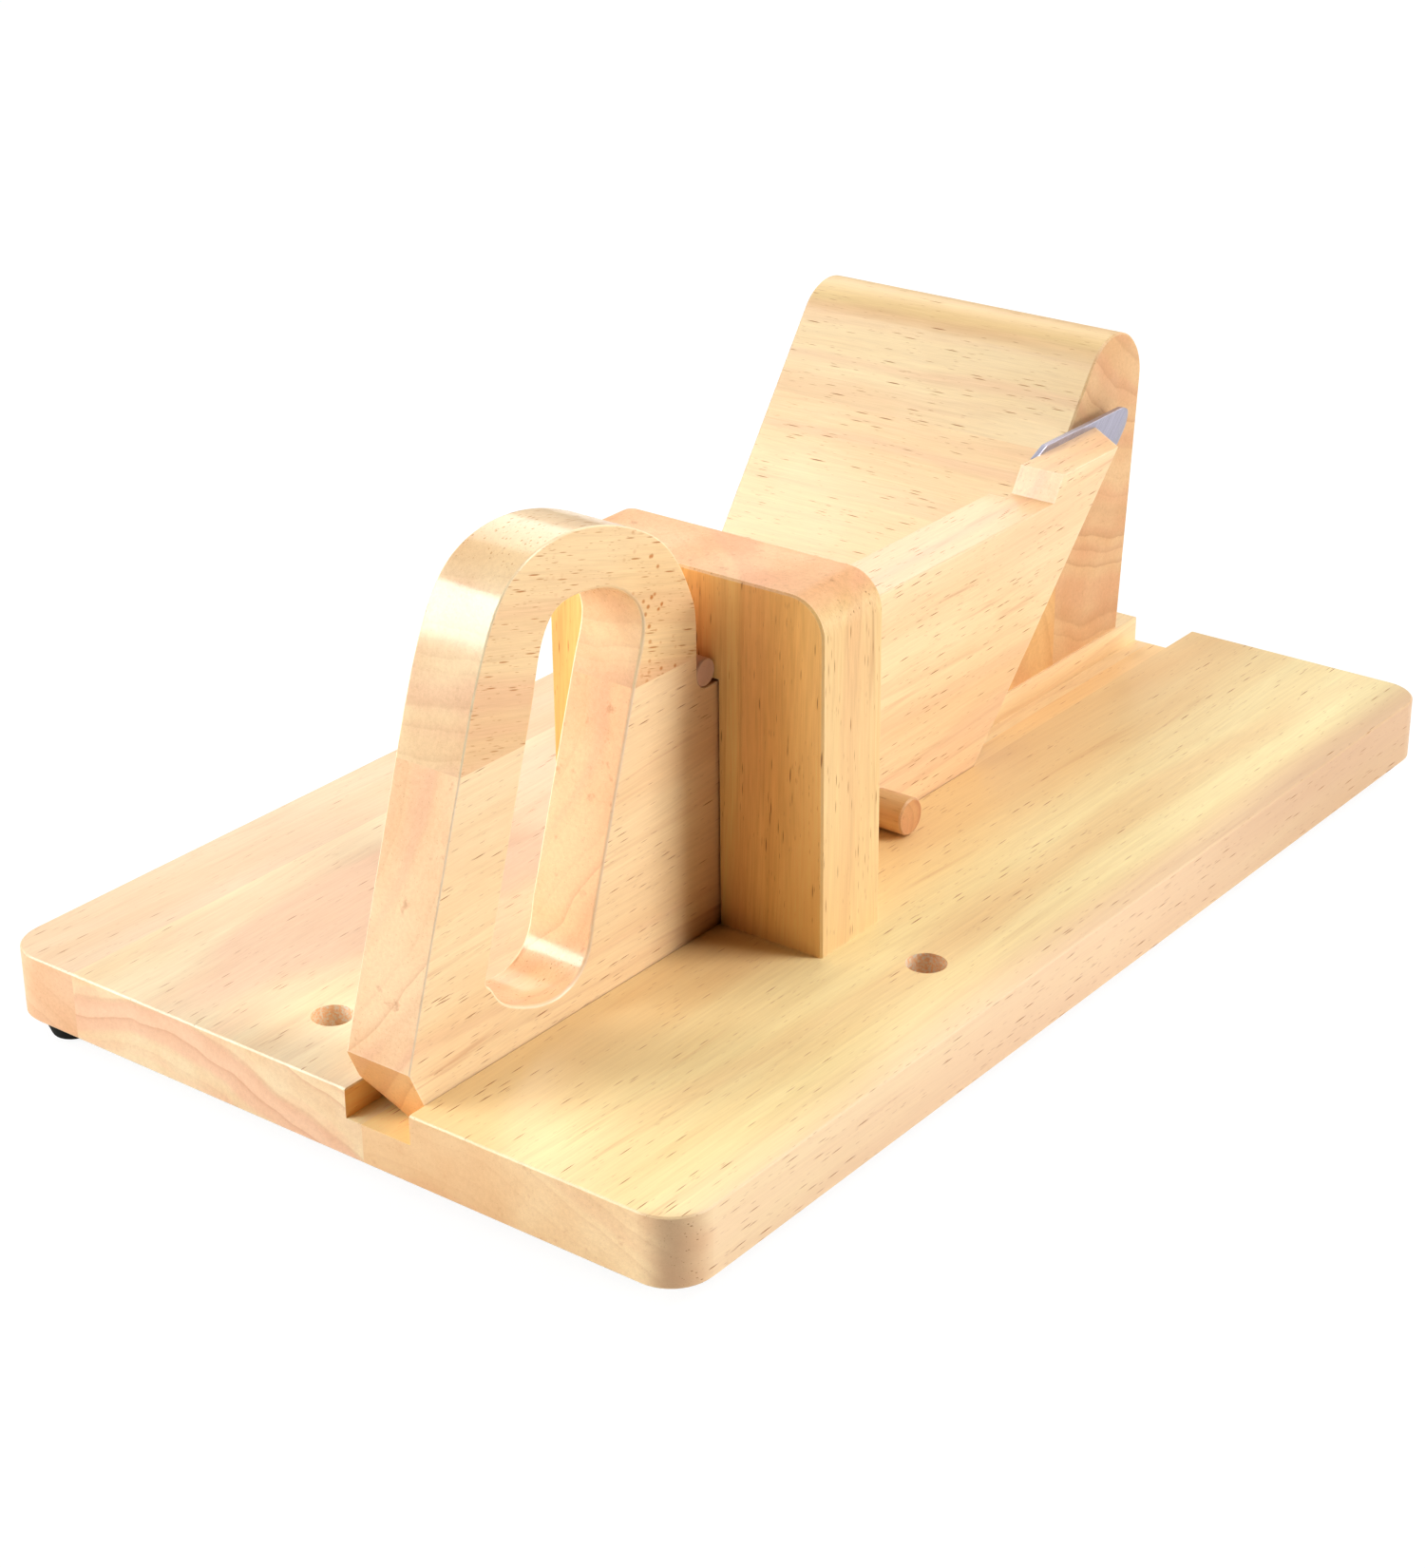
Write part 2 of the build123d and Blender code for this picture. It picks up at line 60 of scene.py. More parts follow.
class Graph:
    """A node graph. Input values may be numbers, tuples, hex colours or sockets."""

    def __init__(self, owner):
        owner.use_nodes = True
        self.tree = owner.node_tree
        self.tree.nodes.clear()

    def set_inputs(self, node, inputs):
        for key, value in dict(inputs).items():
            if isinstance(value, bpy.types.NodeSocket):
                self.tree.links.new(value, node.inputs[key])
            elif isinstance(value, str):
                node.inputs[key].default_value = linear(value)
            elif value is not None:
                node.inputs[key].default_value = value

    def add_node(self, kind, inputs=(), **settings):
        node = self.tree.nodes.new("ShaderNode" + kind)
        for key, value in settings.items():
            setattr(node, key, value)
        self.set_inputs(node, inputs)
        return node

    def math(self, operation, *operands, clamp=False):
        settings = {"operation": operation, "use_clamp": clamp}
        return self.add_node("Math", enumerate(operands), **settings).outputs[0]

    def add(self, a, b):
        return self.math("ADD", a, b)

    def subtract(self, a, b, clamp=False):
        return self.math("SUBTRACT", a, b, clamp=clamp)

    def multiply(self, a, b):
        return self.math("MULTIPLY", a, b)

    def multiply_add(self, value, factor, addend, clamp=False):
        return self.math("MULTIPLY_ADD", value, factor, addend, clamp=clamp)

    def divide(self, a, b):
        return self.math("DIVIDE", a, b)

    def absolute(self, value):
        return self.math("ABSOLUTE", value)

    def inverse(self, mask):
        return self.subtract(1.0, mask)

    def length(self, x, y):
        return self.math("SQRT", self.add(self.multiply(x, x), self.multiply(y, y)))

    def weighted_sum(self, total, *parts):
        """total plus each (source, weight), clamped to 0..1 at the end."""
        for source, weight in parts:
            total = self.add(total, self.multiply(source, weight))
        total.node.use_clamp = True
        return total

    def smooth(self, value, low, high, bottom=0.0, top=1.0):
        """A smooth step from bottom at low to top at high."""
        inputs = {
            "Value": value, "From Min": low, "From Max": high, "To Min": bottom, "To Max": top,
        }
        node = self.add_node("MapRange", inputs, interpolation_type="SMOOTHSTEP", clamp=True)
        return node.outputs["Result"]

    def window(self, value, rise, fall):
        """A mask that comes in over the rise range and goes out over the fall range."""
        return self.multiply(self.smooth(value, *rise), self.inverse(self.smooth(value, *fall)))

    def dot(self, a, b):
        return self.add_node("VectorMath", {0: a, 1: b}, operation="DOT_PRODUCT").outputs["Value"]

    def subtract_vector(self, a, b):
        return self.add_node("VectorMath", {0: a, 1: b}, operation="SUBTRACT").outputs["Vector"]

    def scale_vector(self, vector, factor):
        inputs = {0: vector, "Scale": factor}
        return self.add_node("VectorMath", inputs, operation="SCALE").outputs["Vector"]

    def xyz(self, x, y, z):
        return self.add_node("CombineXYZ", {0: x, 1: y, 2: z}).outputs[0]

    def split(self, vector):
        return tuple(self.add_node("SeparateXYZ", {0: vector}).outputs)


class Material(Graph):
    """A Principled material with its object-space position in mm (times scale)."""

    def __init__(self, name, scale=1.0):
        self.material = bpy.data.materials.new(name)
        super().__init__(self.material)
        self.surface = self.add_node("BsdfPrincipled")
        self.add_node("OutputMaterial", {"Surface": self.surface.outputs["BSDF"]})
        place = self.add_node("TexCoord").outputs["Object"]
        self.position = self.scale_vector(place, MM_PER_METRE * scale)
        self.normal = self.add_node("NewGeometry").outputs["Normal"]

    def noise(self, vector, detail, roughness, output=0):
        """3D noise; output 0 is the value, 1 the colour."""
        inputs = {"Vector": vector, "Scale": 1.0, "Detail": detail, "Roughness": roughness}
        return self.add_node("TexNoise", inputs, noise_dimensions="3D").outputs[output]

    def noise_1d(self, value, scale, detail, roughness):
        inputs = {"W": value, "Scale": scale, "Detail": detail, "Roughness": roughness}
        return self.add_node("TexNoise", inputs, noise_dimensions="1D").outputs[0]

    def even_noise(self, frequency, detail, roughness):
        """Noise of the same frequency (per mm) in all directions."""
        return self.noise(self.scale_vector(self.position, frequency), detail, roughness)

    def stretched(self, axes, across, along):
        """Coordinates with one frequency across the grain and another along it, per mm."""
        frequencies = (across, across, along)
        return self.xyz(*[self.multiply(*pair) for pair in zip(axes, frequencies)])

    def voronoi(self, vector):
        """Distance to the cell's point, and the cell's random red and green."""
        node = self.add_node("TexVoronoi", {"Vector": vector, "Scale": 1.0})
        red, green, _ = self.split(node.outputs["Color"])
        return node.outputs["Distance"], red, green

    def mix(self, factor, a, b, blend_type="MIX"):
        # sockets 6 and 7 are the colour A and B, output 2 the colour result
        settings = {"data_type": "RGBA", "blend_type": blend_type, "clamp_factor": True}
        return self.add_node("Mix", {0: factor, 6: a, 7: b}, **settings).outputs[2]

    def tint(self, colour, by):
        return self.mix(1.0, colour, by, "MULTIPLY")

    def blend(self, colour, over, mask, amount):
        return self.mix(self.multiply(mask, amount), colour, over)

    def bevel(self, radius, samples):
        return self.add_node("Bevel", {"Radius": radius}, samples=samples).outputs[0]

    def edge_mask(self, bevel, high):
        """Where the bevelled normal leaves the true one."""
        return self.smooth(self.inverse(self.dot(bevel, self.normal)), low=0.02, high=high)

    def bump(self, height, distance, strength, normal=None):
        inputs = {
            "Strength": strength, "Distance": distance, "Height": height, "Normal": normal,
        }
        return self.add_node("Bump", inputs).outputs[0]


# ------------------------------------------------------------------ wood
@dataclass
class Wood:
    """The look of one board. Lengths are in mm, colours sRGB hex, tints linear RGB factors."""

    grain: tuple  # direction of the grain
    pith: tuple  # a point on the log's axis
    seed: float
    light: str  # the two ends of the slow colour drift
    dark: str
    pink: str  # colour of the broad bands that follow the rings
    pink_bias: float  # higher means fewer pink bands
    ring_spacing: float
    ring_amount: float
    pore_amount: float
    pore_share: float  # share of cells with an open pore
    pore_size: tuple  # cell size across and along the grain
    end_tint: tuple  # on end grain
    streak: float  # strength of the darker mineral streaks
    gain: tuple  # over the whole board
    up: tuple = (0, 0, 1)
    pink_amount: float = 0.5
    ring: str = "#C98F55"
    end_ring: float = 0.18  # added to ring_amount on end grain
    pore: str = "#AD7036"
    pore_width: float = 0.19  # in cells
    end_pore: float = 0.28  # pore strength left on end grain
    side_share: float = 0.0  # added to pore_share on faces toward X
    fibre: float = 0.10
    warp: float = 6.0  # how far the rings wander
    # how much paler the edges are painted: partly wear, partly a painted edge highlight
    worn_and_highlit_amount: float = 0.35
    coat: float = 0.32
    coat_roughness: float = 0.3
    flecks: float = 0.0  # strength of the ray flecks
    fleck_range: tuple = ()  # along FLECK_AXIS, from few flecks to full
    seams: tuple = ()  # glue seams, where edges aren't worn
    zones: tuple = ()  # (axis, start, full, colour, amount); some zones hold painted light and shade
    bands: tuple = ()  # (axis, rise range, fall range, tint colour, amount) of painted shade
    rims: tuple = ()  # x of the two flanks whose rims get a painted highlight
    # the groove's front faces get painted shade and painted bounce light
    groove: bool = False
    hole: tuple = ()  # (x, y, radius) of a vertical hole
    painted_light_tints: tuple = ()  # (direction, tint): painted light and shade by facing


WOOD_ROUGHNESS = 0.37
FLECK_AXIS = (0.0, 1.0, 0.25)


class WoodMaterial(Material):
    """Lacquered wood in the log's own coordinates: two across it from the pith, one along.

    Rings, bands, fibres and pores are solid, so a face cut along the grain shows streaks and
    dashes and a face cut across it shows arcs and dots.
    """

    def __init__(self, name, wood):
        super().__init__(name)
        self.wood = wood
        side, up, grain = grain_axes(wood.grain, wood.up)
        from_pith = self.subtract_vector(self.position, wood.pith)
        along = self.add(self.dot(from_pith, grain), wood.seed * 37.0)
        self.straight = (self.dot(from_pith, side), self.dot(from_pith, up), along)

        # the trunk isn't straight: slow wander of the pith, then a finer waviness
        slow = self.wander(across=1 / 55.0, along=1 / 170.0)
        fine = self.wander(across=1 / 11.0, along=1 / 75.0)
        slow_reach, fine_reach = wood.warp * 2.6, wood.warp * 0.42
        bent = [
            self.add(self.multiply_add(slow[i], slow_reach, self.straight[i]),
                     self.multiply(fine[i], fine_reach))
            for i in range(2)
        ]
        self.bent = (*bent, along)
        self.waver = fine[0]

        # how squarely the face cuts the grain
        self.object_normal = self.add_node(
            "VectorTransform", {0: self.normal},
            vector_type="NORMAL", convert_from="WORLD", convert_to="OBJECT",
        ).outputs[0]
        squareness = self.absolute(self.dot(self.object_normal, grain))
        self.end_grain = self.smooth(squareness, low=0.45, high=0.97)

        self.drift = self.bent_noise(across=1 / 26.0, along=1 / 240.0, detail=2.0, roughness=0.55)
        self.density = self.bent_noise(across=1 / 9.0, along=1 / 60.0, detail=2.0, roughness=0.5)
        self.radius = self.length(*bent)
        self.rings = self.ring_lines()
        self.fibres = self.fibre_streaks()
        self.pores = self.pore_mask()
        self.edge_noise = self.even_noise(0.35, detail=3.0, roughness=0.6)
        self.worn_and_highlit = self.worn_and_highlit_mask()
        self.finish(self.colour())
        self.material.diffuse_color = linear(wood.light)

    # the split nodes are made only for boards that have a feature in need of them
    @cached_property
    def position_xyz(self):
        return self.split(self.position)

    @cached_property
    def normal_xyz(self):
        return self.split(self.object_normal)

    def wander(self, across, along):
        vector = self.stretched(self.straight, across, along)
        colour = self.noise(vector, detail=2.0, roughness=0.5, output=1)
        return self.split(self.subtract_vector(colour, (0.5, 0.5, 0.5)))

    def bent_noise(self, across, along, detail, roughness):
        return self.noise(self.stretched(self.bent, across, along), detail, roughness)

    def centred(self, noise, amount):
        return self.multiply(self.subtract(noise, 0.5), amount)

    def ring_lines(self):
        """Late-wood lines: a slow rise and a sharp fall in each ring, of random strength."""
        seed = self.wood.seed
        offset = self.add(self.radius, seed * 11.0 + 3.0)
        uneven = self.noise_1d(offset, scale=1 / 13.0, detail=1.0, roughness=0.5)
        phase = self.multiply_add(uneven, 1.5, self.divide(self.radius, self.wood.ring_spacing))
        index = self.math("FLOOR", phase)
        fraction = self.subtract(phase, index)
        rise = self.math("POWER", fraction, 3.2)
        fall = self.inverse(self.smooth(fraction, low=0.90, high=1.0))
        late = self.multiply(rise, fall)
        ring_seed = {"W": self.add(index, seed + 0.37)}
        chance = self.add_node("TexWhiteNoise", ring_seed, noise_dimensions="1D").outputs["Value"]
        return self.multiply(late, self.multiply_add(chance, factor=0.85, addend=0.15))

    def fibre_streaks(self):
        coarse = self.bent_noise(across=0.9, along=1 / 34.0, detail=4.0, roughness=0.62)
        vector = self.stretched(self.straight, across=3.4, along=1 / 14.0)
        fine = self.noise(vector, detail=3.0, roughness=0.6)
        return self.add(self.centred(coarse, amount=1.1), self.centred(fine, amount=0.9))

    def pore_layer(self, wobble, cell, length, width, share, offset):
        """Voronoi cells drawn out along the grain hold one vessel each; some are open."""
        shifts = (offset, offset * 1.7)
        across = [
            self.add(self.divide(self.add(self.straight[i], wobble), cell), shifts[i])
            for i in range(2)
        ]
        vector = self.xyz(*across, self.divide(self.straight[2], length))
        distance, chance, size = self.voronoi(vector)
        limit = self.add(self.subtract(share, 0.45), self.multiply(self.density, 0.90))
        is_open = self.smooth(self.subtract(limit, chance), low=-0.02, high=0.06)
        radius = self.multiply(width, self.multiply_add(size, factor=0.9, addend=0.55))
        core = self.multiply(radius, 0.35)
        spot = self.inverse(self.smooth(distance, low=core, high=radius))
        depth = self.multiply_add(size, factor=0.6, addend=0.4)
        return self.multiply(self.multiply(spot, is_open), depth)

    def pore_mask(self):
        wood = self.wood
        cell, length = wood.pore_size
        share = wood.pore_share
        if wood.side_share:
            # the flank of the board cuts more vessels lengthwise than its face
            flank = self.smooth(self.absolute(self.normal_xyz[0]), low=0.4, high=0.9)
            share = self.multiply_add(flank, wood.side_share, share)
        wobble = self.multiply(self.waver, 1.6)
        large = self.pore_layer(
            wobble, cell=cell, length=length, width=wood.pore_width, share=share,
            offset=wood.seed,
        )
        small = self.pore_layer(
            wobble, cell=cell * 0.6, length=length * 0.45, width=wood.pore_width * 0.9,
            share=self.multiply(share, 0.85), offset=7.3 + wood.seed,
        )
        return self.math("MAXIMUM", large, self.multiply(small, 0.6))

    def worn_and_highlit_mask(self):
        """Handled edges, rubbed with a broken outline but not along the glue seams; painted
        paler, partly as wear and partly as a painted edge highlight.
        """
        edge = self.edge_mask(self.bevel(radius=0.0010, samples=3), high=0.22)
        broken = self.smooth(self.edge_noise, low=0.30, high=0.60, bottom=0.35)
        worn_and_highlit = self.multiply(edge, broken)
        for axis, place in self.wood.seams:
            distance = self.absolute(self.subtract(self.dot(self.position, axis), place))
            worn_and_highlit = self.multiply(worn_and_highlit, self.smooth(distance, low=1.1, high=1.8))
        return worn_and_highlit

    def colour(self):
        wood = self.wood
        colour = self.with_flecks(self.plain_colour()) if wood.flecks else self.plain_colour()
        colour = self.with_zones_and_shade_bands(colour)
        pores = self.multiply(self.pores, wood.pore_amount)
        end_fade = self.multiply_add(self.end_grain, wood.end_pore - 1.0, 1.0)
        colour = self.blend(colour, wood.pore, pores, end_fade)
        # edges painted paler: partly wear, partly a painted edge highlight
        colour = self.blend(colour, "#FFEFCB", self.worn_and_highlit, wood.worn_and_highlit_amount)
        if wood.rims:
            colour = self.with_rim_highlights(colour)
        if wood.groove:
            colour = self.with_groove_shade_and_bounce(colour)
        if wood.hole:
            colour = self.with_lit_hole_wall(colour)
        for direction, tint in wood.painted_light_tints:
            # painted light and shade: each face tinted by which way it looks
            facing = self.smooth(self.dot(self.object_normal, direction), low=0.5, high=0.9)
            colour = self.mix(facing, colour, self.tint(colour, (*tint, 1.0)))
        return self.tint(colour, self.xyz(*wood.gain))

    def plain_colour(self):
        """Drift, pink bands, mineral streaks, rings and fibres."""
        wood = self.wood
        offset = self.add(self.radius, wood.seed * 29.0 + 50.0)
        ring_bands = self.noise_1d(offset, scale=1 / 17.0, detail=2.0, roughness=0.6)
        pinkness = self.add(self.multiply(ring_bands, 0.65), self.multiply(self.drift, 0.35))
        pink = self.smooth(pinkness, low=wood.pink_bias - 0.06, high=wood.pink_bias + 0.10)
        mineral = self.bent_noise(across=0.22, along=1 / 120.0, detail=3.0, roughness=0.6)
        streaks = self.smooth(mineral, low=0.60, high=0.78)

        drift = self.smooth(self.drift, low=0.30, high=0.70)
        colour = self.mix(drift, wood.light, wood.dark)
        colour = self.blend(colour, wood.pink, pink, wood.pink_amount)
        colour = self.blend(colour, wood.ring, streaks, wood.streak)
        ring_amount = self.multiply_add(self.end_grain, wood.end_ring, wood.ring_amount)
        colour = self.blend(colour, wood.ring, self.rings, ring_amount)

        # dark fibres are also warmer: green and blue fall faster than red
        red = self.multiply_add(self.fibres, wood.fibre * 2.0, 1.0)
        green = self.math("POWER", red, 1.25)
        blue = self.math("POWER", red, 1.6)
        colour = self.tint(colour, self.xyz(red, green, blue))
        return self.tint(colour, self.mix(self.end_grain, (1, 1, 1, 1), (*wood.end_tint, 1)))

    def with_flecks(self, colour):
        """Short flecks where the knife crossed the rays."""
        fleck_size = (0.8, 2.6, 3.0)
        vector = self.xyz(*[self.divide(*pair) for pair in zip(self.straight, fleck_size)])
        distance, chance, _ = self.voronoi(vector)
        spot = self.inverse(self.smooth(distance, low=0.10, high=0.34))
        flecks = self.multiply(spot, self.smooth(chance, low=0.62, high=0.7))
        flank = self.smooth(self.absolute(self.normal_xyz[0]), low=0.5, high=0.9)
        flecks = self.multiply(flecks, flank)
        dense = self.smooth(self.density, low=0.34, high=0.58)
        place = self.dot(self.position, FLECK_AXIS)
        zone = self.multiply(dense, self.smooth(place, *self.wood.fleck_range, bottom=0.12))
        return self.blend(colour, "#C47A2E", self.multiply(flecks, zone), self.wood.flecks)

    def with_zones_and_shade_bands(self, colour):
        for axis, start, full, hue, amount in self.wood.zones:
            # the colour shifts toward one side of the board, with a ragged limit; some zones are
            # painted light and shade
            ragged = self.centred(self.drift, amount=22.0)
            place = self.add(self.dot(self.position, axis), ragged)
            place = self.add(place, self.multiply(self.waver, 6.0))
            mask = self.smooth(place, start, full, top=amount)
            colour = self.mix(mask, colour, self.mix(0.75, colour, hue))
        for axis, rise, fall, hue, amount in self.wood.bands:
            # painted shade: a limited stretch darkened where shade falls
            ragged = self.centred(self.drift, amount=8.0)
            place = self.add(self.dot(self.position, axis), ragged)
            mask = self.window(place, rise, fall)
            colour = self.blend(colour, self.tint(colour, linear(hue)), mask, amount)
        return colour

    def with_rim_highlights(self, colour):
        """Painted highlight on the rounded rims between the flanks and the sawn profile."""
        x, y, _ = self.position_xyz
        low_side, high_side = self.wood.rims
        inner, outer = 2.3, 1.9  # depth from the flank where the rim ends and is full
        sideways = self.absolute(self.normal_xyz[0])
        rounded = self.window(sideways, rise=(0.10, 0.38), fall=(0.90, 0.995))
        near_flank = self.math(
            "MAXIMUM",
            self.inverse(self.smooth(x, low_side + outer, low_side + inner)),
            self.smooth(x, high_side - inner, high_side - outer),
        )
        toward_front = self.inverse(self.smooth(y, low=-68.0, high=-64.0))
        rim = self.multiply(self.multiply(rounded, near_flank), toward_front)
        patchy = self.smooth(self.edge_noise, low=0.25, high=0.6, bottom=0.6, top=0.9)
        # the pale cream on the rims is a painted highlight
        return self.blend(colour, "#FFE7BC", rim, patchy)

    def with_groove_shade_and_bounce(self, colour):
        """The groove's faces near the front: the walls a deeper orange, partly the bare cut and
        partly painted shade; the floor lighter as painted bounce light. Toward the rear they are
        slightly paler.
        """
        x, y, z = self.position_xyz
        cut = self.window(x, rise=(11.0, 11.3), fall=(34.0, 34.3))
        cut = self.multiply(cut, self.inverse(self.smooth(z, low=26.1, high=26.6)))
        cut = self.multiply(cut, self.smooth(z, low=17.1, high=17.7))
        cut = self.multiply(cut, self.inverse(self.end_grain))
        front = self.inverse(self.smooth(y, low=-170.0, high=-60.0))
        wall_painted_shade, floor_painted_bounce = (1.12, 0.86, 0.48, 1.0), (1.14, 1.22, 1.18, 1.0)
        rear_tint = (1.06, 1.06, 1.08, 1.0)
        upward = self.smooth(self.normal_xyz[2], low=0.4, high=0.9)
        front_painted_light = self.mix(upward, wall_painted_shade, floor_painted_bounce)
        # front walls take painted shade, the front floor painted bounce light
        colour = self.blend(colour, self.tint(colour, front_painted_light), cut, front)
        return self.blend(colour, self.tint(colour, rear_tint), cut, self.inverse(front))

    def with_lit_hole_wall(self, colour):
        """The drilled wall: torn fibres in a warmer colour, painted much lighter than the shade
        inside the hole leaves it.
        """
        hole_x, hole_y, radius = self.wood.hole
        x, y, _ = self.position_xyz
        distance = self.length(self.subtract(x, hole_x), self.subtract(y, hole_y))
        inside = self.inverse(self.smooth(distance, low=radius + 0.15, high=radius + 0.5))
        upright = self.inverse(self.smooth(self.absolute(self.normal_xyz[2]), low=0.3, high=0.8))
        wall = self.multiply(inside, upright)
        torn = self.smooth(self.even_noise(1.1, detail=4.0, roughness=0.7), low=0.40, high=0.62)
        # the light colours here are partly the torn wood, partly painted light inside the hole
        return self.blend(colour, self.mix(torn, "#FFD097", "#FFF4DC"), wall, amount=0.9)

    def finish(self, colour):
        """Satin lacquer, duller in open pores, on end grain and at worn edges."""
        wood = self.wood
        roughness = self.weighted_sum(
            WOOD_ROUGHNESS,
            (self.even_noise(0.05, detail=3.0, roughness=0.55), 0.12),
            (self.add(self.fibres, 0.3), 0.10),
            (self.pores, 0.25),
            (self.end_grain, 0.10),
            (self.worn_and_highlit, 0.12),
        )
        # relief: sunk pores, fine fibres, slightly sunk rings and a slow swell
        height = self.multiply_add(self.pores, -1.0, self.multiply(self.fibres, 0.22))
        height = self.add(height, self.multiply(self.rings, -0.18))
        swell = self.even_noise(0.10, detail=2.0, roughness=0.5)
        height = self.multiply_add(swell, 0.8, height)
        worn_coat = self.multiply(self.worn_and_highlit, wood.coat * 0.5)
        self.set_inputs(self.surface, {
            "Base Color": colour,
            "Roughness": roughness,
            "Normal": self.bump(height, distance=0.00016, strength=0.55),
            "IOR": 1.48,
            "Specular IOR Level": 0.42,
            "Coat Weight": self.subtract(wood.coat, worn_coat, clamp=True),
            "Coat Roughness": wood.coat_roughness,
            "Coat IOR": 1.45,
        })


BASE_WOOD = dict(
    pore="#B06E38", pore_amount=0.8, pore_share=0.48, pore_size=(0.8, 13.0), worn_and_highlit_amount=0.06,
)
REAR_WOOD = dict(
    pore="#A8652E", pore_amount=0.9, pore_share=0.62, pore_size=(0.8, 14.0), pore_width=0.2,
    streak=0.15, worn_and_highlit_amount=0.3, coat=0.22, seams=(SEAM_REAR,),
)
ARM_WOOD = dict(worn_and_highlit_amount=0.5, seams=(SEAM_HANDLE,), rims=ARM_SIDES)

